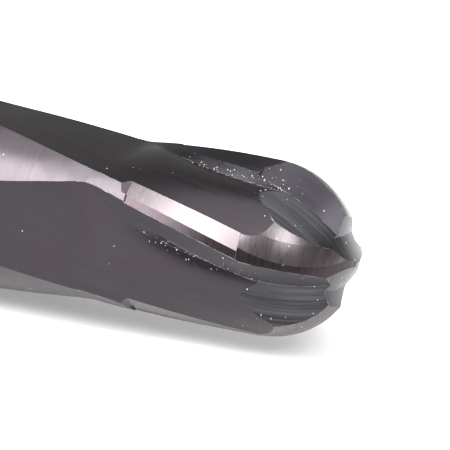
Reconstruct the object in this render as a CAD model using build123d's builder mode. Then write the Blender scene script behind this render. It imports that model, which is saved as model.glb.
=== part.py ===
"""Four-flute ball-nose end mill: a carbide cutting head brazed into a steel shank.

Frame: millimetres, the tool lies along +X with its ball tip at +X, and +Z is up.
The origin is the centre of the shank's rear face, on the tool's axis.

Shapes of one tooth are given in a "tooth frame": x runs out along the radius that
meets the cutting edge where the ball starts, y runs round the tool towards the back
of the tooth, and z runs along the tool, 0 at the ball's centre and positive towards
the tip. Their numbers are shares of the ball's radius, because they grow with it.
"""
import os
from math import cos, degrees, radians, sin, sqrt, tan

from build123d import *

# ---- driving dimensions: millimetres and degrees ------------------------------------
cutting_diameter = 10.0
overall_length = 75.0
shank_diameter = 12.0
cut_length = 12.2          # tip to the end of the relieved cutting edges
band_length = 2.3          # plain lands straight behind the cutting edges
land_step = 0.075          # how far the plain lands stand above the cutting edges
neck_end = 31.0            # tip to the point where the cone reaches the shank
head_straight = 2.0        # straight part of the head between the cone and the seam
helix_angle = 14.7         # right-hand helix
first_tooth_angle = 14.6   # roll of the first tooth's edge where the ball starts, from -Y to +Z
long_teeth = (0, 2)        # these two reach the centre, the other two stop short
tooth_count = 4

spigot_diameter = 7.2      # rear of the head, inside the shank
spigot_length = 12.0
spigot_chamfer = 0.6
braze_gap = 0.08           # film of braze on all faces of the joint
seam_bevel = 0.3           # bevel of both pieces at the seam, filled with braze
shank_chamfer = 0.6        # rear end of the shank

# ---- worked out from them -------------------------------------------------------------
ball_radius = cutting_diameter / 2
shank_radius = shank_diameter / 2
band_radius = ball_radius + land_step
ball_centre = overall_length - ball_radius
seam_x = overall_length - neck_end - head_straight
step_x = overall_length - cut_length
cone_x = step_x - band_length
neck_x = overall_length - neck_end
shank_end = seam_x - braze_gap
spigot_radius = spigot_diameter / 2
spigot_x = seam_x - spigot_length
socket_radius = spigot_radius + braze_gap
socket_bottom = spigot_x - braze_gap
tooth_pitch = 360 / tooth_count
twist_rate = degrees(tan(radians(helix_angle)) / ball_radius)   # degrees per mm
cut_end = ball_radius - cut_length          # end of the relieved edges, tooth frame

# ---- one flute ------------------------------------------------------------------------
# Corners of the flute ahead of a tooth, seen along the tool: knee of the rake face, foot
# of the rake face, crown of the floor, heel of the tooth ahead, and a point outside. The
# foot moves out as the wheel lifts, first to the knee's place and then to the edge's.
RAKE_TOP = (1.30, 0.353)
LIFT_WAY = (0.740, -0.673)                  # direction in which the wheel lifts out
FULL_DEPTH = [(0.836, -0.193), (0.700, -0.228), (0.620, -0.560), (0.304, -0.903), (0.060, -1.115)]
FOOT_AT_KNEE = [(0.920, -0.094), (0.842, -0.186), (0.608, -0.550), (0.304, -0.890), (0.060, -1.120)]
FOOT_AT_EDGE = [(1.140, 0.165), (1.000, 0.000), (0.600, -0.505), (0.304, -0.860), (0.060, -1.130)]
SHALLOW = [(1.235, 0.060), (1.160, -0.334), (0.720, -0.655), (0.304, -0.958), (0.050, -1.143)]
full_depth_end = -0.15 * ball_radius        # the wheel starts to lift here
edge_gone = cut_end - 0.49 * ball_radius    # the rake face has run out
shallow_at = edge_gone - 1.10 * ball_radius
lift_start = shallow_at - 0.50 * ball_radius
lift_radius = 2.2 * ball_radius             # the wheel leaves the cut in an arc of this radius
last_lift = 1.05 * shank_radius - 0.90 * ball_radius
cutter_end = lift_start - sqrt(lift_radius**2 - (lift_radius - last_lift)**2)

# ---- one land on the straight part: cutting edge, end of the primary relief, end of the
# secondary relief, and a point past it in the flute
LAND = [(1.002, -0.020), (0.989, 0.093), (0.913, 0.307), (0.860, 0.450)]
LAND_OUTSIDE = [(1.150, 0.520), (1.220, -0.020)]
exit_ramp = 0.20           # length of the ramp where the secondary relief runs out
exit_lift = 0.085

# ---- relief of the ball ---------------------------------------------------------------
# The cutting edge lies in a plane that leans by edge_lean. Each relief is a sphere with
# its centre set back along that plane's normal, and starts at its own distance from it.
edge_lean = 0.306
RELIEFS = [(0.120, -0.010), (0.155, 0.115), (0.210, 0.300)]
sector_start = -42.0
sector_end = 62.0

# ---- gashes ahead of one tooth --------------------------------------------------------
# A gash is a V whose bottom runs round the ball in an arc. It turns about an axis through
# centre along axis, its bottom is radius from that axis and offset along it, and its two
# sides lie at angles measured from the radius. It starts abreast of the point start.
GASH = {
    "centre": (-1.233, -0.220, -0.510),
    "axis": (0.701, 1.000, 0.366),
    "radius": 1.629,
    "offset": 1.241,
    "rake_angle": 74.6,
    "back_angle": -72.5,
    "start": (0.880, -0.180, -0.200),
    "sweep": 62.0,
}
# the long teeth's second gash crosses the ball's pole and takes the ends off the short teeth
POLE_GASH = {
    "centre": (-0.050, -0.300, -0.870),
    "axis": (0.000, 1.000, 0.000),
    "radius": 1.700,
    "offset": 0.0,
    "rake_angle": 59.0,
    "back_angle": -86.0,
    "start": (0.620, -0.300, 0.692),
    "sweep": 49.5,
}
gash_side = 0.90           # length of both sides of a V
gash_reach = 0.80          # how far a V opens past its bottom


def tooth_plane(z: float, turn: float = 0.0) -> Plane:
    """Plane across the tool at height z of the tooth frame, with x along the radius."""
    angle = radians(turn)
    return Plane(
        origin=(ball_centre + z, 0, 0),
        x_dir=(0, -cos(angle), sin(angle)),
        z_dir=(-1, 0, 0),
    )


def helix_turn(z: float) -> float:
    """Turn of the cutting edge at height z, in degrees from where the ball starts."""
    return -twist_rate * z


def in_mm(points: list) -> list:
    """Shares of the ball's radius turned into millimetres."""
    return [(x * ball_radius, y * ball_radius) for x, y in points]


def space_point(point: tuple) -> Vector:
    """Point of the untwisted tooth frame placed in the tool's own frame."""
    x, y, z = point
    return Vector(ball_centre + z * ball_radius, -x * ball_radius, y * ball_radius)


def mix(first: list, second: list, share: float) -> list:
    """Corners at a share of the way from the first outline to the second."""
    return [
        (a[0] + (b[0] - a[0]) * share, a[1] + (b[1] - a[1]) * share)
        for a, b in zip(first, second)
    ]


def flute_corners(z: float) -> list:
    """Corners of the flute at height z: the wheel lifts out behind the cutting edges."""
    if z >= full_depth_end:
        return FULL_DEPTH
    if z >= cut_end:
        share = (full_depth_end - z) / (full_depth_end - cut_end)
        return mix(FULL_DEPTH, FOOT_AT_KNEE, share**2)
    if z >= edge_gone:
        return mix(FOOT_AT_KNEE, FOOT_AT_EDGE, (cut_end - z) / (cut_end - edge_gone))
    corners = mix(FOOT_AT_EDGE, SHALLOW, (edge_gone - z) / (edge_gone - shallow_at))
    past = max(lift_start - z, 0.0)
    lift = (lift_radius - sqrt(lift_radius**2 - past**2)) / ball_radius
    return [(x + lift * LIFT_WAY[0], y + lift * LIFT_WAY[1]) for x, y in corners]


def steps(start: float, end: float, count: int) -> list:
    """Evenly spaced values from start up to, but not including, end."""
    return [start + (end - start) * i / count for i in range(count)]


# ---- cutters: each one is the way of a grinding wheel through the first tooth ----------
flute_stations = steps(1.3 * ball_radius, cutter_end, 24) + [cutter_end]
with BuildPart() as flute_cutter:
    for station in flute_stations:
        rake_top, knee, foot, crown, heel, outside = in_mm([RAKE_TOP] + flute_corners(station))
        with BuildSketch(tooth_plane(station, helix_turn(station))):
            with BuildLine():
                Polyline(rake_top, knee, foot)
                Spline(foot, crown, heel, outside)
                Polyline(outside, (outside[0] + 2 * ball_radius, outside[1]), rake_top)
            make_face()
    loft()

land_stations = steps(cut_end, 0, 5) + [0]
with BuildPart() as land_cutter:
    for station in land_stations:
        with BuildSketch(tooth_plane(station, helix_turn(station))):
            with BuildLine():
                Polyline(*in_mm(LAND + LAND_OUTSIDE), close=True)
            make_face()
    loft()

with BuildPart() as exit_cutter:
    for station, lift in ((cut_end, 0), (cut_end - exit_ramp * ball_radius, exit_lift)):
        outline = [(x + lift, y) for x, y in LAND[1:]] + [LAND_OUTSIDE[0], (1.220, 0.093)]
        with BuildSketch(tooth_plane(station, helix_turn(station))):
            with BuildLine():
                Polyline(*in_mm(outline), close=True)
            make_face()
    loft(ruled=True)


def gash_cutter(gash: dict) -> Part:
    """The V of a gash, turned about its axis through its sweep."""
    origin = space_point(gash["centre"])
    axis_way = (space_point(gash["axis"]) - space_point((0, 0, 0))).normalized()
    start_way = space_point(gash["start"]) - origin
    start_way = (start_way - axis_way * start_way.dot(axis_way)).normalized()
    bottom = Vector(gash["radius"], gash["offset"])
    rake_side = Vector(1, 0).rotate(Axis.Z, gash["rake_angle"]) * gash_side
    back_side = Vector(1, 0).rotate(Axis.Z, gash["back_angle"]) * gash_side
    corners = [bottom, bottom + rake_side, bottom + Vector(gash_reach, 0), bottom + back_side]
    with BuildPart() as cutter:
        with BuildSketch(Plane(origin=origin, x_dir=start_way, z_dir=start_way.cross(axis_way))):
            with BuildLine():
                Polyline(*in_mm([(c.X, c.Y) for c in corners]), close=True)
            make_face()
        revolve(axis=Axis(origin, axis_way), revolution_arc=gash["sweep"])
    return cutter.part


gash = gash_cutter(GASH)
pole_gash = gash_cutter(POLE_GASH)

# relief of the ball: the tooth's sector less the spheres that may stay
normal_length = sqrt(1 + 2 * edge_lean**2)
edge_normal = (edge_lean / normal_length, 1 / normal_length, edge_lean / normal_length)
edge_distance = edge_lean / normal_length
with BuildPart() as relief_cutter:
    with BuildSketch(tooth_plane(0)):
        with BuildLine():
            reach = 1.6 * ball_radius
            corner = (
                (reach * cos(radians(sector_start)), reach * sin(radians(sector_start))),
                (2.2 * ball_radius, 0),
                (reach * cos(radians(sector_end)), reach * sin(radians(sector_end))),
            )
            Polyline((0, 0), *corner, close=True)
        make_face()
    extrude(amount=-1.4 * ball_radius)

# squared size of each relief sphere, so that it meets the one before it at its start
stay = None
squared = 1.0
last_offset = 0.0
for offset, width in RELIEFS:
    meet = edge_distance + width
    squared += offset**2 - last_offset**2 + 2 * (offset - last_offset) * meet
    last_offset = offset
    centre = space_point(tuple(-offset * n for n in edge_normal))
    sphere = Pos(centre) * Sphere(sqrt(squared) * ball_radius)
    stay = sphere if stay is None else stay & sphere
relief = relief_cutter.part - stay

# ---- cutting head: ball, straight part, plain band, cone, and the spigot behind --------
with BuildPart() as ground_head:
    with BuildSketch(Plane.XZ):
        with BuildLine():
            Polyline(
                (ball_centre, ball_radius),
                (step_x, ball_radius),
                (step_x, band_radius),
                (cone_x, band_radius),
                (neck_x, shank_radius),
                (seam_x + seam_bevel, shank_radius),
                (seam_x, shank_radius - seam_bevel),
                (seam_x, spigot_radius),
                (spigot_x + spigot_chamfer, spigot_radius),
                (spigot_x, spigot_radius - spigot_chamfer),
                (spigot_x, 0),
                (overall_length, 0),
            )
            RadiusArc((overall_length, 0), (ball_centre, ball_radius), -ball_radius)
        make_face()
    revolve(axis=Axis.X)
    grinding = [relief, land_cutter.part, exit_cutter.part, flute_cutter.part, gash]
    for cutter in grinding:
        for tooth in range(tooth_count):
            roll = -(first_tooth_angle + tooth * tooth_pitch)
            add(cutter.rotate(Axis.X, roll), mode=Mode.SUBTRACT)
    for tooth in long_teeth:
        roll = -(first_tooth_angle + tooth * tooth_pitch)
        add(pole_gash.rotate(Axis.X, roll), mode=Mode.SUBTRACT)
with BuildPart() as cutting_head:
    add(ground_head.solids().sort_by(SortBy.VOLUME)[-1])    # without what falls off as grit
cutting_head.part.label = "cutting_head"

# ---- shank: ground steel bar with the socket for the spigot ----------------------------
with BuildPart() as shank:
    with BuildSketch(Plane.XZ):
        with BuildLine():
            Polyline(
                (0, 0),
                (0, shank_radius - shank_chamfer),
                (shank_chamfer, shank_radius),
                (shank_end - seam_bevel, shank_radius),
                (shank_end, shank_radius - seam_bevel),
                (shank_end, socket_radius),
                (socket_bottom, socket_radius),
                (socket_bottom, 0),
                close=True,
            )
        make_face()
    revolve(axis=Axis.X)
shank.part.label = "shank"

# ---- braze: the film in the joint and the ring that fills the bevelled seam ------------
with BuildPart() as braze:
    with BuildSketch(Plane.XZ):
        with BuildLine():
            Polyline(
                (socket_bottom, 0),
                (socket_bottom, socket_radius),
                (shank_end, socket_radius),
                (shank_end, shank_radius - seam_bevel),
                (shank_end - seam_bevel, shank_radius),
                (seam_x + seam_bevel, shank_radius),
                (seam_x, shank_radius - seam_bevel),
                (seam_x, spigot_radius),
                (spigot_x + spigot_chamfer, spigot_radius),
                (spigot_x, spigot_radius - spigot_chamfer),
                (spigot_x, 0),
                close=True,
            )
        make_face()
    revolve(axis=Axis.X)
braze.part.label = "braze"

if __name__ == "__main__":
    os.makedirs("parts", exist_ok=True)
    for piece in (cutting_head, shank, braze):
        export_step(piece.part, f"parts/{piece.part.label}.step")
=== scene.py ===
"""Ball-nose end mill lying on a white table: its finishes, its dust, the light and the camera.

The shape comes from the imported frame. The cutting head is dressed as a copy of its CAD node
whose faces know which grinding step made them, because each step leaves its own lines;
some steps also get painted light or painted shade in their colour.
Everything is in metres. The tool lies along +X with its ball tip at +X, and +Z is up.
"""

import logging
from dataclasses import dataclass, field
from enum import Enum
from math import asin, atan2, cos, degrees, hypot, radians, sin, tan

import bmesh
import bpy
from mathutils import Matrix, Vector


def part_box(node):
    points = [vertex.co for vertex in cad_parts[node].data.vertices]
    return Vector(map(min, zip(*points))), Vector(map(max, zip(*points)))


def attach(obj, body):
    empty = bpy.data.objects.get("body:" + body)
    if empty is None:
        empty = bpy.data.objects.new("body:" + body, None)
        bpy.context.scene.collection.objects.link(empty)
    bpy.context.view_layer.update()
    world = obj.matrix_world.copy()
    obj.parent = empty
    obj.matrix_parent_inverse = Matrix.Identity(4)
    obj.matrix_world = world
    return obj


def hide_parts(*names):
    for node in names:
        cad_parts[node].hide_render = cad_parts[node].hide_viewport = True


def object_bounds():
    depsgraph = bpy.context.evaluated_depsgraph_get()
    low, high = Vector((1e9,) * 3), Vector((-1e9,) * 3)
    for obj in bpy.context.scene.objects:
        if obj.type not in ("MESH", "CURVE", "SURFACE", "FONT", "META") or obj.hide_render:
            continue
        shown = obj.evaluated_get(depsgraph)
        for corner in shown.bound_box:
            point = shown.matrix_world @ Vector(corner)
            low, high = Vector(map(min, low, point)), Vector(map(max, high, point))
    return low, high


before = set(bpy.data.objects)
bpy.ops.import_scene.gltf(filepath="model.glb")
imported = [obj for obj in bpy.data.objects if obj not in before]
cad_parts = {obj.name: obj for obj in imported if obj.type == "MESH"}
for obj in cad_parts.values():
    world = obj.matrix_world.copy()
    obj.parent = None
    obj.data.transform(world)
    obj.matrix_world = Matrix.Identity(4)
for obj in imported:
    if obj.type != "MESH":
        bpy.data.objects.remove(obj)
CAD_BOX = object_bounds()

LOG = logging.getLogger("end_mill")
MM = 0.001
BARE_LENGTH = 1.2 * MM      # uncoated carbide in front of the seam
TOOTH_LENGTH = 15.5 * MM    # tip to behind the plain bands, where sharp edges end
Node = bpy.types.Node
Socket = bpy.types.NodeSocket


class Facet(Enum):
    """The grinding step that made a face of the cutting head."""

    BODY = "body"            # cone, plain bands and all that is turned round the axis
    FLUTE = "flute"          # floor of a flute
    RAKE = "rake"            # the side of a flute or a gash that carries the cutting edge
    WALL = "gash_wall"       # the other side of a gash
    PRIMARY = "primary"      # narrow relief straight behind a cutting edge
    SECONDARY = "secondary"  # wide relief behind the primary one
    FAN = "fan"              # third relief, at the back of the ball


@dataclass(frozen=True)
class GroundFinish:
    """A ground surface: its colours, some with painted light or shade in them, and the lines that the
    wheel left in it.
    """

    name: str
    colour: tuple[float, float, float]
    streak_colour: tuple[float, float, float]
    roughness: float
    roughness_spread: float = 0.10
    lines_per_mm: float = 16.0
    stretch: float = 40.0
    streak_share: float = 0.5
    line_height: float = 0.0006 * MM
    speckle: float = 0.15
    cloud: float = 0.25
    coated: bool = True


# Painted light and shade: every facet carries the same coating, but some facets' colours are raised or
# lowered to stand in for how light falls on them.
FINISHES_AND_PAINTED_LIGHT = {
    # Painted light: the body's colours are raised above the coating's own to stand in for light falling
    # on the cone and the plain bands.
    Facet.BODY: GroundFinish(
        "coat_body_painted_light", (0.072, 0.064, 0.070), (0.100, 0.090, 0.097), 0.32, lines_per_mm=11.0,
    ),
    Facet.FLUTE: GroundFinish(
        "coat_flute", (0.042, 0.037, 0.042), (0.058, 0.052, 0.058), 0.30, lines_per_mm=9.0,
        stretch=70.0,
    ),
    Facet.RAKE: GroundFinish(
        "coat_rake", (0.034, 0.032, 0.038), (0.052, 0.049, 0.056), 0.32, lines_per_mm=12.0,
    ),
    # Painted shade: the gash walls' base colour is pushed darker than the coating's own to damp the
    # table's reflection in them; the bright streaks are their grinding lines.
    Facet.WALL: GroundFinish(
        "coat_gash_wall_painted_shade", (0.018, 0.018, 0.021), (0.100, 0.100, 0.108), 0.27,
        lines_per_mm=7.0, stretch=60.0, streak_share=0.75, line_height=0.0012 * MM,
    ),
    Facet.PRIMARY: GroundFinish(
        "coat_primary", (0.046, 0.036, 0.041), (0.082, 0.068, 0.074), 0.30, lines_per_mm=14.0,
        stretch=25.0, line_height=0.0003 * MM,
    ),
    # Painted highlight: the secondary reliefs' colours are raised well above the coating's own to stand
    # in for the lamps' reflection in them.
    Facet.SECONDARY: GroundFinish(
        "coat_secondary_painted_highlight", (0.118, 0.104, 0.109), (0.205, 0.186, 0.192), 0.30,
        lines_per_mm=12.0, stretch=12.0, speckle=0.45, line_height=0.0004 * MM,
    ),
    # Painted highlight: the fan's colours are raised well above the coating's own to stand in for its
    # bright reflection.
    Facet.FAN: GroundFinish(
        "coat_fan_painted_highlight", (0.105, 0.092, 0.098), (0.210, 0.190, 0.196), 0.28,
        lines_per_mm=10.0, stretch=18.0, streak_share=0.8, line_height=0.0012 * MM,
    ),
}
STEEL = GroundFinish(
    "ground_steel", (0.300, 0.297, 0.293), (0.400, 0.397, 0.392), 0.28, lines_per_mm=14.0,
    stretch=60.0, cloud=0.12, coated=False,
)
BRAZE = GroundFinish(
    "silver_braze", (0.400, 0.365, 0.290), (0.520, 0.490, 0.410), 0.42, lines_per_mm=3.0,
    stretch=1.5, speckle=0.5, line_height=0.0040 * MM, cloud=0.5, coated=False,
)

METALLIC = 0.92
PIT_SHADE = 0.45                      # a pit's brightness as a share of its surface
CLOUD_TINT = (1.06, 0.90, 0.97)       # what a cloud in the finish does to its colour

BARE_CARBIDE = (0.46, 0.455, 0.45)
FULL_COATING = (0.05, 0.044, 0.05)
FULL_THICKNESS = 0.999
FRINGE_WOBBLE = 0.9 * MM
# share of the full thickness, and the colour that light gives a coating so thin
FRINGE_TINTS = (
    (0.25, (0.50, 0.42, 0.24)),
    (0.50, (0.34, 0.17, 0.26)),
    (0.75, (0.15, 0.17, 0.34)),
)


# ---- node helpers -----------------------------------------------------------------------
class Graph:
    """A node tree that is written as a chain of short calls."""

    def __init__(self, tree: bpy.types.NodeTree) -> None:
        """Keeps the tree and empties it."""
        self.tree = tree
        tree.nodes.clear()

    def add(self, kind: str, inputs: dict | None = None, **settings: object) -> Node:
        """Adds a node.

        Args:
            kind: the node's type name.
            inputs: input name or index to a socket or a plain value.
            settings: properties of the node itself.

        Returns:
            The new node.
        """
        node = self.tree.nodes.new(kind)
        for name, value in settings.items():
            setattr(node, name, value)
        for key, value in (inputs or {}).items():
            if isinstance(value, Socket):
                self.tree.links.new(value, node.inputs[key])
            else:
                node.inputs[key].default_value = value
        return node

    def math(self, operation: str, *values: object) -> Socket:
        """The result of a Math node on these values or sockets."""
        return self.add("ShaderNodeMath", dict(enumerate(values)), operation=operation).outputs[0]

    def noise(self, place: Socket, scale: object, detail: float, roughness: float = 0.5) -> Socket:
        """The value of a noise texture read at that place."""
        inputs = {"Vector": place, "Scale": scale, "Detail": detail, "Roughness": roughness}
        return self.add("ShaderNodeTexNoise", inputs).outputs[0]

    def bump(self, height: Socket, distance: float) -> Socket:
        """A normal that follows the height, whose full range is distance."""
        return self.add("ShaderNodeBump", {"Height": height, "Distance": distance}).outputs[0]

    def mix(self, share: object, first: object, second: object) -> Socket:
        """A colour between two, at the given share."""
        node = self.add("ShaderNodeMix", data_type="RGBA")
        for index, value in ((0, share), (6, first), (7, second)):
            if isinstance(value, Socket):
                self.tree.links.new(value, node.inputs[index])
            else:
                node.inputs[index].default_value = value
        return node.outputs[2]


def rgba(colour: tuple[float, float, float]) -> tuple[float, float, float, float]:
    """The colour with full opacity."""
    return (*colour, 1.0)


def new_group(name: str, inputs: dict[str, tuple[str, float]], outputs: dict[str, str]) -> Graph:
    """A shader node group with named sockets.

    Args:
        name: the group's name.
        inputs: socket name to its kind and default number.
        outputs: socket name to its kind.

    Returns:
        The group's graph, with nodes called Inputs and Outputs.
    """
    tree = bpy.data.node_groups.new(name, "ShaderNodeTree")
    graph = Graph(tree)
    for label, (kind, default) in inputs.items():
        socket = tree.interface.new_socket(label, in_out="INPUT", socket_type=kind)
        if kind == "NodeSocketFloat":
            socket.default_value = default
    for label, kind in outputs.items():
        tree.interface.new_socket(label, in_out="OUTPUT", socket_type=kind)
    graph.add("NodeGroupInput").name = "Inputs"
    graph.add("NodeGroupOutput").name = "Outputs"
    return graph


def grinding_lines() -> bpy.types.NodeTree:
    """Fine parallel lines: the coordinate's x runs across them and its y along them."""
    graph = new_group(
        "Grinding Lines",
        {"Coordinate": ("NodeSocketVector", 0.0), "Lines": ("NodeSocketFloat", 10000.0),
         "Stretch": ("NodeSocketFloat", 40.0)},
        {"Streak": "NodeSocketFloat", "Height": "NodeSocketFloat"},
    )
    given = graph.tree.nodes["Inputs"].outputs
    result = graph.tree.nodes["Outputs"]
    parts = graph.add("ShaderNodeSeparateXYZ", {0: given["Coordinate"]}).outputs
    across = graph.math("MULTIPLY", parts[0], given["Lines"])
    along = graph.math("DIVIDE", graph.math("MULTIPLY", parts[1], given["Lines"]), given["Stretch"])
    fine = graph.add("ShaderNodeCombineXYZ", {0: across, 1: along}).outputs[0]
    wide = graph.add(
        "ShaderNodeCombineXYZ",
        {0: graph.math("MULTIPLY", across, 0.22), 1: graph.math("MULTIPLY", along, 0.35)},
    ).outputs[0]
    lines = graph.noise(fine, scale=1.0, detail=4.0, roughness=0.62)
    bands = graph.noise(wide, scale=1.0, detail=2.0)
    both = graph.math("ADD", graph.math("MULTIPLY", lines, 0.65), graph.math("MULTIPLY", bands, 0.35))
    streak = graph.add("ShaderNodeMapRange", {0: both, 1: 0.36, 2: 0.64, 3: 0.0, 4: 1.0})
    graph.tree.links.new(streak.outputs[0], result.inputs["Streak"])
    graph.tree.links.new(both, result.inputs["Height"])
    return graph.tree


def speckles() -> bpy.types.NodeTree:
    """Pits and droplets of a hard coating, in object space."""
    graph = new_group(
        "Coating Speckles",
        {"Size": ("NodeSocketFloat", 0.05)},
        {"Mask": "NodeSocketFloat", "Cloud": "NodeSocketFloat"},
    )
    given = graph.tree.nodes["Inputs"].outputs
    result = graph.tree.nodes["Outputs"]
    place = graph.add("ShaderNodeTexCoord").outputs["Object"]
    scale = graph.math("DIVIDE", 1.0 / MM, given["Size"])
    cells = graph.add("ShaderNodeTexVoronoi", {"Vector": place, "Scale": scale})
    grit = graph.noise(place, scale=scale, detail=3.0)
    distance = cells.outputs["Distance"]
    dots = graph.add("ShaderNodeMapRange", {0: distance, 1: 0.10, 2: 0.42, 3: 1.0, 4: 0.0})
    broken = graph.add("ShaderNodeMapRange", {0: grit, 1: 0.48, 2: 0.62, 3: 0.0, 4: 1.0})
    mask = graph.math("MULTIPLY", dots.outputs[0], broken.outputs[0])
    cloud = graph.noise(place, scale=0.45 / MM, detail=2.0)
    graph.tree.links.new(mask, result.inputs["Mask"])
    graph.tree.links.new(cloud, result.inputs["Cloud"])
    return graph.tree


def coating_fringe() -> bpy.types.NodeTree:
    """Behind its end the coating thins out to bare carbide, through blue, purple and straw."""
    graph = new_group(
        "Coating Fringe",
        {"Colour": ("NodeSocketColor", 0.0), "Coating End": ("NodeSocketFloat", 0.0),
         "Fringe": ("NodeSocketFloat", 0.001)},
        {"Colour": "NodeSocketColor"},
    )
    given = graph.tree.nodes["Inputs"].outputs
    result = graph.tree.nodes["Outputs"]
    place = graph.add("ShaderNodeTexCoord").outputs["Object"]
    along = graph.add("ShaderNodeSeparateXYZ", {0: place}).outputs[0]
    wobble = graph.noise(place, scale=0.30 / MM, detail=3.0)
    shift = graph.math("MULTIPLY", graph.math("SUBTRACT", wobble, 0.5), FRINGE_WOBBLE)
    fringe_end = graph.math("ADD", given["Coating End"], given["Fringe"])
    thickness = graph.add(
        "ShaderNodeMapRange",
        {0: graph.math("ADD", along, shift), 1: given["Coating End"], 2: fringe_end, 3: 0.0, 4: 1.0},
    ).outputs[0]
    ramp = graph.add("ShaderNodeValToRGB", {0: thickness})
    stops = ramp.color_ramp.elements
    stops[0].color = rgba(BARE_CARBIDE)
    stops[1].color = rgba(FULL_COATING)
    for share, tint in FRINGE_TINTS:
        stops.new(share).color = rgba(tint)
    full = graph.math("GREATER_THAN", thickness, FULL_THICKNESS)
    graph.tree.links.new(graph.mix(full, ramp.outputs[0], given["Colour"]), result.inputs["Colour"])
    return graph.tree


@dataclass
class FinishShop:
    """Makes the materials, all from the same node groups."""

    coating_end: float
    fringe: float = 1.1 * MM
    speckle_size: float = 0.05
    lines: bpy.types.NodeTree = field(default_factory=grinding_lines)
    grit: bpy.types.NodeTree = field(default_factory=speckles)
    fade: bpy.types.NodeTree = field(default_factory=coating_fringe)

    def coordinate(self, graph: Graph, finish: GroundFinish) -> Socket:
        """Where the grinding lines are read: the head's own map, or along the axis.

        Args:
            graph: the material's graph.
            finish: the finish that is being made.

        Returns:
            The coordinate, x across the lines and y along them.
        """
        if finish.coated:
            return graph.add("ShaderNodeUVMap", uv_map="grain").outputs[0]
        place = graph.add("ShaderNodeTexCoord").outputs["Object"]
        parts = graph.add("ShaderNodeSeparateXYZ", {0: place}).outputs
        around = graph.math("ADD", parts[1], graph.math("MULTIPLY", parts[2], 0.4))
        return graph.add("ShaderNodeCombineXYZ", {0: parts[0], 1: around}).outputs[0]

    def make(self, finish: GroundFinish) -> bpy.types.Material:
        """Builds one ground finish as a material.

        Args:
            finish: colours, roughness and lines.

        Returns:
            The material.
        """
        material = bpy.data.materials.new(finish.name)
        material.use_nodes = True
        graph = Graph(material.node_tree)
        lines = graph.add("ShaderNodeGroup", node_tree=self.lines)
        graph.tree.links.new(self.coordinate(graph, finish), lines.inputs["Coordinate"])
        lines.inputs["Lines"].default_value = finish.lines_per_mm / MM
        lines.inputs["Stretch"].default_value = finish.stretch
        grit = graph.add("ShaderNodeGroup", node_tree=self.grit)
        grit.inputs["Size"].default_value = self.speckle_size
        streak = graph.math("MULTIPLY", lines.outputs["Streak"], finish.streak_share)
        colour = graph.mix(streak, rgba(finish.colour), rgba(finish.streak_colour))
        dark = tuple(PIT_SHADE * part for part in finish.colour)
        pits = graph.math("MULTIPLY", grit.outputs["Mask"], finish.speckle)
        colour = graph.mix(pits, colour, rgba(dark))
        shade = graph.add(
            "ShaderNodeMapRange", {0: grit.outputs["Cloud"], 1: 0.35, 2: 0.65, 3: 0.0, 4: finish.cloud},
        )
        warm = tuple(part * factor for part, factor in zip(finish.colour, CLOUD_TINT))
        colour = graph.mix(shade.outputs[0], colour, rgba(warm))
        if finish.coated:
            fade = graph.add("ShaderNodeGroup", node_tree=self.fade)
            graph.tree.links.new(colour, fade.inputs["Colour"])
            fade.inputs["Coating End"].default_value = self.coating_end
            fade.inputs["Fringe"].default_value = self.fringe
            colour = fade.outputs["Colour"]
        rough = graph.math(
            "ADD", finish.roughness - finish.roughness_spread / 2,
            graph.math("MULTIPLY", lines.outputs["Streak"], finish.roughness_spread),
        )
        rough = graph.math("ADD", rough, graph.math("MULTIPLY", grit.outputs["Mask"], 0.15))
        pit_depth = graph.math("MULTIPLY", grit.outputs["Mask"], 0.3)
        height = graph.math("SUBTRACT", lines.outputs["Height"], pit_depth)
        bump = graph.bump(height, finish.line_height)
        shader = graph.add(
            "ShaderNodeBsdfPrincipled",
            {"Base Color": colour, "Roughness": rough, "Metallic": METALLIC, "Normal": bump},
        )
        graph.add("ShaderNodeOutputMaterial", {0: shader.outputs[0]})
        return material


# ---- the cutting head -------------------------------------------------------------------
@dataclass
class TurnedV:
    """The V of a gash in the tooth frame: shares of the ball's radius."""

    centre: Vector
    axis: Vector

    def across_and_along(self, point: Vector) -> tuple[float, float]:
        """Place along the V's turning axis, and the arc travelled round it."""
        way = self.axis.normalized()
        arm = point - self.centre
        height = arm.dot(way)
        out = arm - way * height
        side = way.cross(Vector((1, 0, 0))).normalized()
        start = side.cross(way)
        return height, atan2(out.dot(side), out.dot(start)) * out.length


@dataclass(frozen=True)
class FacetLimits:
    """What tells the head's faces apart. Lengths are shares of the ball's radius."""

    plain_radius: float = 1.004      # the cone and the plain bands lie outside this
    cone_end: float = -5.0           # what lies behind this is turned or hidden
    ramp_length: float = 0.30
    slack: float = 0.05
    relief_facing: float = 0.965     # reliefs of the ball look away from its centre
    primary_depth: float = 0.020     # mean depth of a relief below the full ball
    fan_depth: float = 0.042
    land_facing: float = 0.85
    land_radius: float = 0.90
    primary_radius: float = 0.985
    rake_turn: float = -0.40         # rake faces look against the tooth's own turn


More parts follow.
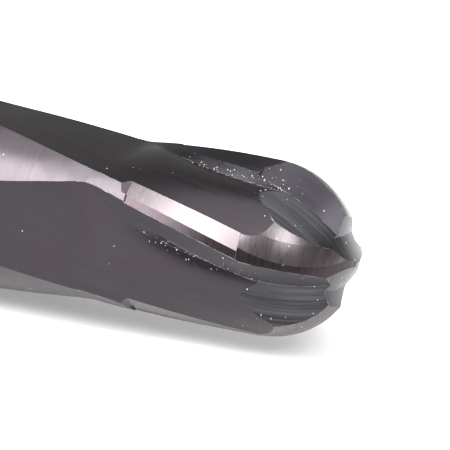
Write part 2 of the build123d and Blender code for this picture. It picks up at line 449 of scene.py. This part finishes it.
@dataclass
class CuttingHead:
    """The coated head: sorts its faces by grinding step and dresses each sort."""

    ball_radius: float = 5.0 * MM
    helix_angle: float = 14.7
    first_tooth: float = 14.6
    tooth_pitch: float = 90.0
    cut_end: float = -1.44
    limits: FacetLimits = FacetLimits()
    gash: TurnedV = field(default_factory=lambda: TurnedV(
        Vector((-1.233, -0.220, -0.510)), Vector((0.701, 1.000, 0.366))))

    def __post_init__(self) -> None:
        """Finds the ball's centre from the frame."""
        self.ball_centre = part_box("cutting_head")[1].x - self.ball_radius

    def twisted(self, point: Vector) -> tuple[float, float, float]:
        """Height, radius and angle behind the nearest cutting edge, the helix taken out."""
        height = (point.x - self.ball_centre) / self.ball_radius
        radius = hypot(point.y, point.z) / self.ball_radius
        roll = degrees(atan2(point.z, -point.y)) - self.first_tooth
        behind = roll + degrees(tan(radians(self.helix_angle)) * height)
        return height, radius, (behind + 20.0) % self.tooth_pitch - 20.0

    def in_tooth_frame(self, point: Vector, roll: float) -> Vector:
        """The point seen from the tooth at that roll, as shares of the ball's radius."""
        angle = atan2(point.z, -point.y) - radians(roll)
        radius = hypot(point.y, point.z) / self.ball_radius
        height = (point.x - self.ball_centre) / self.ball_radius
        return Vector((radius * cos(angle), radius * sin(angle), height))

    def tooth_roll(self, centre: Vector) -> float:
        """Roll of the tooth whose gash holds a face with this centre."""
        roll = degrees(atan2(centre.z, -centre.y)) - self.first_tooth + 62.0
        return self.first_tooth + round((roll - 40.0) / self.tooth_pitch) * self.tooth_pitch

    def facet_of(self, faces: list, normals: dict) -> Facet:
        """The grinding step of one CAD face, from where it lies and which way it looks.

        Args:
            faces: the bmesh faces that make up the CAD face.
            normals: mean shading normal of each bmesh face.

        Returns:
            The facet.
        """
        area = sum(face.calc_area() for face in faces)
        spots = [self.twisted(vertex.co) for face in faces for vertex in face.verts]
        heights = [spot[0] for spot in spots]
        radii = [spot[1] for spot in spots]
        out = round_way = from_ball = depth = 0.0
        for face in faces:
            centre = face.calc_center_median()
            normal = normals[face]
            share = face.calc_area() / area
            roll = atan2(centre.z, -centre.y)
            from_centre = centre - Vector((self.ball_centre, 0, 0))
            out += share * normal.dot(Vector((0, -cos(roll), sin(roll))))
            round_way += share * normal.dot(Vector((0, sin(roll), cos(roll))))
            from_ball += share * normal.dot(from_centre.normalized())
            depth += share * (1 - from_centre.length / self.ball_radius)
        low, high, limits = min(heights), max(heights), self.limits
        ramp = out > 0.5 and self.cut_end - limits.ramp_length < low and high < self.cut_end + 0.03
        if min(radii) > limits.plain_radius or high < limits.cone_end or ramp:
            return Facet.BODY
        if low > -limits.slack and from_ball > limits.relief_facing:
            if depth < limits.primary_depth:
                return Facet.PRIMARY
            return Facet.FAN if depth > limits.fan_depth else Facet.SECONDARY
        on_straight = low > self.cut_end - 0.15 and high < limits.slack
        if on_straight and out > limits.land_facing and min(radii) > limits.land_radius:
            mean_radius = sum(radii) / len(radii)
            return Facet.PRIMARY if mean_radius > limits.primary_radius else Facet.SECONDARY
        if round_way < limits.rake_turn:
            return Facet.RAKE
        return Facet.WALL if low > -2 * limits.slack else Facet.FLUTE

    def grain(self, facet: Facet, point: Vector, roll: float) -> tuple[float, float]:
        """Place across and along the grinding lines of a facet, in metres."""
        height, radius, behind = self.twisted(point)
        size = self.ball_radius
        if facet is Facet.BODY:
            return point.x, 0.3 * point.z
        if facet in (Facet.PRIMARY, Facet.SECONDARY, Facet.FAN):
            run = asin(min(height, 1.0)) if height > 0 else height
            return run * size, radians(behind) * radius * size
        if facet is Facet.FLUTE or (facet is Facet.RAKE and height < 0.0):
            return radians(behind) * size, height * size
        across, along = self.gash.across_and_along(self.in_tooth_frame(point, roll))
        return across * size, along * size

    def islands(self, mesh: bmesh.types.BMesh) -> list[list]:
        """Faces joined by shared corners. Each island is one CAD face."""
        seen = set()
        found = []
        for first in mesh.faces:
            if first in seen:
                continue
            seen.add(first)
            island = [first]
            for face in island:
                for vertex in face.verts:
                    for other in vertex.link_faces:
                        if other not in seen:
                            seen.add(other)
                            island.append(other)
            found.append(island)
        return found

    def build(self, shop: FinishShop) -> bpy.types.Object:
        """Makes the dressed head.

        Args:
            shop: makes the materials.

        Returns:
            The head's object, not yet riding on anything.
        """
        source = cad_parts["cutting_head"].data
        corner_normals = [corner.vector.copy() for corner in source.corner_normals]
        mesh = bmesh.new()
        mesh.from_mesh(source)
        kept = mesh.loops.layers.float_vector.new("kept_normal")
        grain_map = mesh.loops.layers.uv.new("grain")
        face_normals = {}
        index = 0
        for face in mesh.faces:
            total = Vector()
            for loop in face.loops:
                loop[kept] = corner_normals[index]
                total += corner_normals[index]
                index += 1
            face_normals[face] = total.normalized()
        order = list(Facet)
        counts = dict.fromkeys(order, 0)
        for island in self.islands(mesh):
            facet = self.facet_of(island, face_normals)
            counts[facet] += 1
            middle = sum((face.calc_center_median() for face in island), Vector()) / len(island)
            roll = self.tooth_roll(middle)
            for face in island:
                face.material_index = order.index(facet)
                face.smooth = True
                for loop in face.loops:
                    loop[grain_map].uv = self.grain(facet, loop.vert.co, roll)
        bmesh.ops.remove_doubles(mesh, verts=mesh.verts, dist=0.0004 * MM)
        data = bpy.data.meshes.new("cutting_head_ground")
        mesh.to_mesh(data)
        mesh.free()
        for facet in order:
            data.materials.append(shop.make(FINISHES_AND_PAINTED_LIGHT[facet]))
        normals = [entry.vector.copy() for entry in data.attributes["kept_normal"].data]
        data.attributes.remove(data.attributes["kept_normal"])
        data.normals_split_custom_set(normals)
        LOG.info("faces by grinding step: %s", {facet.value: counts[facet] for facet in order})
        return add_object("cutting_head_ground", data)


def add_object(name: str, data: object) -> bpy.types.Object:
    """A new object in the scene, at the origin."""
    made = bpy.data.objects.new(name, data)
    bpy.context.scene.collection.objects.link(made)
    return made


# ---- dust -------------------------------------------------------------------------------
@dataclass
class Dust:
    """White grinding dust: a few specks all over, and many in the roots that look up."""

    per_square_mm: float = 1.1
    smallest: float = 0.006 * MM
    largest: float = 0.042 * MM
    seed: int = 7
    share_in_root: float = 12.0
    share_on_ball: float = 0.45
    share_elsewhere: float = 0.06
    root_radius: float = 0.83
    root_turn: tuple[float, float] = (-20.0, -8.0)
    root_height: tuple[float, float] = (-1.45, 0.25)

    def tree(self, material: bpy.types.Material) -> bpy.types.NodeTree:
        """Geometry nodes that scatter specks over the input surface."""
        tree = bpy.data.node_groups.new("Dust Specks", "GeometryNodeTree")
        tree.interface.new_socket("Geometry", in_out="INPUT", socket_type="NodeSocketGeometry")
        for label, kind, default in (
            ("Specks per m2", "NodeSocketFloat", 1.0), ("Smallest", "NodeSocketFloat", 0.001),
            ("Largest", "NodeSocketFloat", 0.001), ("Seed", "NodeSocketInt", 1),
        ):
            tree.interface.new_socket(label, in_out="INPUT", socket_type=kind).default_value = default
        tree.interface.new_socket("Geometry", in_out="OUTPUT", socket_type="NodeSocketGeometry")
        graph = Graph(tree)
        given = graph.add("NodeGroupInput").outputs
        zone = graph.add("GeometryNodeInputNamedAttribute", {"Name": "dustiness"}, data_type="FLOAT")
        density = graph.math("MULTIPLY", given["Specks per m2"], zone.outputs["Attribute"])
        points = graph.add(
            "GeometryNodeDistributePointsOnFaces",
            {"Mesh": given["Geometry"], "Density": density, "Seed": given["Seed"]},
        )
        speck = graph.add("GeometryNodeMeshIcoSphere", {"Radius": 1.0, "Subdivisions": 1})
        size = graph.add("FunctionNodeRandomValue", data_type="FLOAT")
        graph.tree.links.new(given["Smallest"], size.inputs[2])
        graph.tree.links.new(given["Largest"], size.inputs[3])
        graph.tree.links.new(given["Seed"], size.inputs["Seed"])
        squash = graph.add("ShaderNodeCombineXYZ", {
            0: size.outputs[1], 1: graph.math("MULTIPLY", size.outputs[1], 1.7),
            2: graph.math("MULTIPLY", size.outputs[1], 0.5)})
        placed = graph.add("GeometryNodeInstanceOnPoints", {
            "Points": points.outputs["Points"], "Instance": speck.outputs["Mesh"],
            "Rotation": points.outputs["Rotation"], "Scale": squash.outputs[0]})
        solid = graph.add("GeometryNodeRealizeInstances", {0: placed.outputs[0]})
        painted = graph.add("GeometryNodeSetMaterial", {"Geometry": solid.outputs[0]})
        painted.inputs["Material"].default_value = material
        graph.add("NodeGroupOutput", {0: painted.outputs[0]})
        return tree

    def material(self) -> bpy.types.Material:
        """Dull white grit with a little grey in it."""
        material = bpy.data.materials.new("dust")
        material.use_nodes = True
        graph = Graph(material.node_tree)
        place = graph.add("ShaderNodeTexCoord").outputs["Object"]
        patches = graph.noise(place, scale=4.0 / MM, detail=2.0)
        colour = graph.mix(patches, rgba((0.45, 0.43, 0.44)), rgba((0.98, 0.97, 0.96)))
        rough = graph.math("ADD", 0.6, graph.math("MULTIPLY", patches, 0.3))
        bump = graph.bump(patches, 0.004 * MM)
        shader = graph.add(
            "ShaderNodeBsdfPrincipled", {"Base Color": colour, "Roughness": rough, "Normal": bump},
        )
        graph.add("ShaderNodeOutputMaterial", {0: shader.outputs[0]})
        return material

    def dustiness(self, head: CuttingHead, point: Vector) -> float:
        """How much dust gathers at a point of the head.

        Args:
            head: knows where the point lies on a tooth.
            point: the point.

        Returns:
            A factor on the specks per area.
        """
        height, radius, behind = head.twisted(point)
        if height < head.limits.cone_end:
            return 0.0
        in_turn = self.root_turn[0] < behind < self.root_turn[1]
        in_height = self.root_height[0] < height < self.root_height[1]
        if point.z > 0 and radius < self.root_radius and in_turn and in_height:
            return self.share_in_root
        return self.share_on_ball if height > -0.2 else self.share_elsewhere

    def build(self, head: CuttingHead, surface: bpy.types.Object) -> bpy.types.Object:
        """Scatters the specks over the head.

        Args:
            head: knows where the flutes and the ball are.
            surface: the dressed head.

        Returns:
            One mesh of all specks.
        """
        data = surface.data.copy()
        zone = data.attributes.new("dustiness", "FLOAT", "POINT")
        for entry, vertex in zip(zone.data, data.vertices):
            entry.value = self.dustiness(head, vertex.co)
        carrier = add_object("dust_carrier", data)
        settings = {
            "Specks per m2": self.per_square_mm / MM**2, "Smallest": self.smallest,
            "Largest": self.largest, "Seed": self.seed,
        }
        specks = evaluate_nodes(carrier, self.tree(self.material()), settings)
        LOG.info("dust: %d faces", len(specks.polygons))
        return add_object("grinding_dust", specks)


# ---- honed edges ------------------------------------------------------------------------
@dataclass
class HonedEdges:
    """The thin bright line that honing leaves along every sharp edge of the ground teeth, drawn as a
    bead whose lighter colour is partly bare carbide and partly a painted highlight.
    """

    start: float
    radius: float = 0.013 * MM
    sharpness: float = 24.0      # degrees between the two faces' directions

    def tree(self, material: bpy.types.Material) -> bpy.types.NodeTree:
        """Geometry nodes that lay a thin round bead along the sharp edges of the input."""
        tree = bpy.data.node_groups.new("Honed Edges", "GeometryNodeTree")
        tree.interface.new_socket("Geometry", in_out="INPUT", socket_type="NodeSocketGeometry")
        for label in ("Start", "Radius", "Sharpness"):
            tree.interface.new_socket(label, in_out="INPUT", socket_type="NodeSocketFloat")
        tree.interface.new_socket("Geometry", in_out="OUTPUT", socket_type="NodeSocketGeometry")
        graph = Graph(tree)
        given = graph.add("NodeGroupInput").outputs
        bend = graph.add("GeometryNodeInputMeshEdgeAngle").outputs["Unsigned Angle"]
        place = graph.add("GeometryNodeInputPosition").outputs[0]
        along = graph.add("ShaderNodeSeparateXYZ", {0: place}).outputs[0]
        chosen = graph.math(
            "MULTIPLY", graph.math("GREATER_THAN", bend, given["Sharpness"]),
            graph.math("GREATER_THAN", along, given["Start"]),
        )
        curve = graph.add("GeometryNodeMeshToCurve", {"Mesh": given["Geometry"], "Selection": chosen})
        ring = graph.add(
            "GeometryNodeCurvePrimitiveCircle", {"Resolution": 6, "Radius": given["Radius"]},
        )
        bead = graph.add("GeometryNodeCurveToMesh", {
            "Curve": curve.outputs[0], "Profile Curve": ring.outputs[0], "Fill Caps": True})
        solid = graph.add("GeometryNodeRealizeInstances", {0: bead.outputs[0]})
        painted = graph.add("GeometryNodeSetMaterial", {"Geometry": solid.outputs[0]})
        painted.inputs["Material"].default_value = material
        graph.add("NodeGroupOutput", {0: painted.outputs[0]})
        return tree

    def material(self) -> bpy.types.Material:
        """Bare carbide that shines through the coating, in uneven patches; the light patches also stand
        in as a painted highlight along the edge.
        """
        material = bpy.data.materials.new("honed_carbide_and_highlight")
        material.use_nodes = True
        graph = Graph(material.node_tree)
        place = graph.add("ShaderNodeTexCoord").outputs["Object"]
        wear_and_sheen = graph.noise(place, scale=1.6 / MM, detail=3.0)
        share = graph.add("ShaderNodeMapRange", {0: wear_and_sheen, 1: 0.40, 2: 0.60, 3: 0.0, 4: 1.0})
        # Light patches: partly bare carbide, partly a painted highlight along the edge.
        colour = graph.mix(share.outputs[0], rgba((0.07, 0.06, 0.066)), rgba((0.30, 0.28, 0.285)))
        rough = graph.math("SUBTRACT", 0.45, graph.math("MULTIPLY", wear_and_sheen, 0.2))
        bump = graph.bump(wear_and_sheen, 0.002 * MM)
        shader = graph.add(
            "ShaderNodeBsdfPrincipled",
            {"Base Color": colour, "Roughness": rough, "Metallic": 1.0, "Normal": bump},
        )
        graph.add("ShaderNodeOutputMaterial", {0: shader.outputs[0]})
        return material

    def build(self, surface: bpy.types.Object) -> bpy.types.Object:
        """Lays the beads along the teeth's edges.

        Args:
            surface: the dressed head.

        Returns:
            One mesh of all beads.
        """
        carrier = add_object("edge_carrier", surface.data.copy())
        settings = {"Start": self.start, "Radius": self.radius, "Sharpness": radians(self.sharpness)}
        beads = evaluate_nodes(carrier, self.tree(self.material()), settings)
        LOG.info("honed edges: %d faces", len(beads.polygons))
        return add_object("honed_edges_and_highlight", beads)


def evaluate_nodes(
    carrier: bpy.types.Object, tree: bpy.types.NodeTree, settings: dict,
) -> bpy.types.Mesh:
    """Runs a geometry node tree on a carrier and removes the carrier.

    Args:
        carrier: object whose mesh goes in.
        tree: the node tree.
        settings: input name to value.

    Returns:
        The plain mesh that comes out.
    """
    modifier = carrier.modifiers.new("grown", "NODES")
    modifier.node_group = tree
    for item in tree.interface.items_tree:
        if item.name in settings:
            modifier[item.identifier] = settings[item.name]
    bpy.context.view_layer.update()
    evaluated = carrier.evaluated_get(bpy.context.evaluated_depsgraph_get())
    mesh = bpy.data.meshes.new_from_object(evaluated)
    carrier.modifiers.remove(modifier)
    bpy.data.objects.remove(carrier)
    return mesh


# ---- table, light and camera --------------------------------------------------------------
@dataclass
class Softbox:
    """One large soft lamp that looks at the ball."""

    name: str
    azimuth: float
    elevation: float
    distance: float
    size: float
    power: float
    colour: tuple[float, float, float] = (1.0, 1.0, 1.0)

    def build(self, target: Vector) -> None:
        """Hangs the lamp round the target.

        Args:
            target: the point that it lights.
        """
        lamp = bpy.data.lights.new(self.name, "AREA")
        lamp.size = self.size
        lamp.energy = self.power
        lamp.color = self.colour
        turn, rise = radians(self.azimuth), radians(self.elevation)
        way = Vector((sin(turn) * cos(rise), -cos(turn) * cos(rise), sin(rise)))
        hung = add_object(self.name, lamp)
        hung.location = target + way * self.distance
        hung.rotation_euler = way.to_track_quat("Z", "Y").to_euler()


@dataclass
class Studio:
    """White table, soft light and the camera."""

    azimuth: float = 26.2
    elevation: float = 23.0
    distance: float = 91.7 * MM
    aim_right: float = -7.139 * MM
    aim_up: float = 2.175 * MM
    lens: float = 134.2
    sensor: float = 36.0
    table_size: float = 1.6
    table_glow: float = 0.30
    sky: float = 0.30
    lamps: tuple[Softbox, ...] = (
        Softbox("side_window", -42.0, 47.0, 0.40, 0.20, 1.5),
        Softbox("ceiling", -60.0, 80.0, 0.50, 0.60, 2.5),
        Softbox("fan_light", 55.0, 50.0, 0.40, 0.16, 0.7),
        Softbox("back_light", 170.0, 40.0, 0.60, 0.40, 1.0),
    )

    def table(self) -> None:
        """A pale table top, lit a little from below, that the shank lies on."""
        half = self.table_size / 2
        lowest = CAD_BOX[0][2]
        data = bpy.data.meshes.new("table")
        corners = [(x * half, y * half, lowest) for x, y in ((-1, -1), (1, -1), (1, 1), (-1, 1))]
        data.from_pydata(corners, [], [(0, 1, 2, 3)])
        material = bpy.data.materials.new("table_white")
        material.use_nodes = True
        graph = Graph(material.node_tree)
        place = graph.add("ShaderNodeTexCoord").outputs["Object"]
        paper = graph.noise(place, scale=180.0, detail=4.0)
        colour = graph.mix(paper, rgba((0.93, 0.93, 0.935)), rgba((0.96, 0.96, 0.96)))
        shader = graph.add("ShaderNodeBsdfPrincipled", {"Base Color": colour, "Roughness": 0.7})
        shader.inputs["Emission Color"].default_value = rgba((1.0, 1.0, 1.0))
        shader.inputs["Emission Strength"].default_value = self.table_glow
        graph.add("ShaderNodeOutputMaterial", {0: shader.outputs[0]})
        data.materials.append(material)
        add_object("table", data)

    def world(self) -> None:
        """An even pale sky."""
        world = bpy.data.worlds.new("studio")
        world.use_nodes = True
        graph = Graph(world.node_tree)
        sky = graph.add(
            "ShaderNodeBackground", {"Color": rgba((1.0, 0.99, 0.985)), "Strength": self.sky},
        )
        graph.add("ShaderNodeOutputWorld", {0: sky.outputs[0]})
        bpy.context.scene.world = world

    def camera(self, tip: Vector) -> None:
        """Places the camera.

        Args:
            tip: the tip of the ball.
        """
        turn, rise = radians(self.azimuth), radians(self.elevation)
        back = Vector((sin(turn) * cos(rise), -cos(turn) * cos(rise), sin(rise)))
        right = Vector((cos(turn), sin(turn), 0))
        up = back.cross(right)
        lens = bpy.data.cameras.new("camera")
        lens.lens = self.lens
        lens.sensor_width = self.sensor
        lens.clip_start = 0.001
        eye = add_object("camera", lens)
        pose = Matrix((right, up, back)).transposed().to_4x4()
        pose.translation = tip + right * self.aim_right + up * self.aim_up + back * self.distance
        eye.matrix_world = pose
        bpy.context.scene.camera = eye

    def build(self, tip: Vector) -> None:
        """Sets up the table, the light and the camera.

        Args:
            tip: the tip of the ball.
        """
        bpy.context.scene.view_settings.view_transform = "Standard"
        self.table()
        self.world()
        for lamp in self.lamps:
            lamp.build(tip)
        self.camera(tip)


def main() -> None:
    """Builds and dresses every piece, then the studio."""
    logging.basicConfig(level=logging.INFO, format="%(message)s")
    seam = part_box("shank")[1].x
    tip_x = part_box("cutting_head")[1].x
    shop = FinishShop(coating_end=seam + BARE_LENGTH)

    head = CuttingHead()
    ground = head.build(shop)
    dust = Dust().build(head, ground)
    beads = HonedEdges(start=tip_x - TOOTH_LENGTH).build(ground)
    for piece in (ground, dust, beads):
        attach(piece, "root")
        LOG.info("%s: %d faces", piece.name, len(piece.data.polygons))
    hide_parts("cutting_head")

    for node, finish in (("shank", STEEL), ("braze", BRAZE)):
        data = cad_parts[node].data
        data.materials.clear()
        data.materials.append(shop.make(finish))
        LOG.info("%s: %s", node, finish.name)

    Studio().build(Vector((tip_x, 0, 0)))


if __name__ == "__main__":
    main()
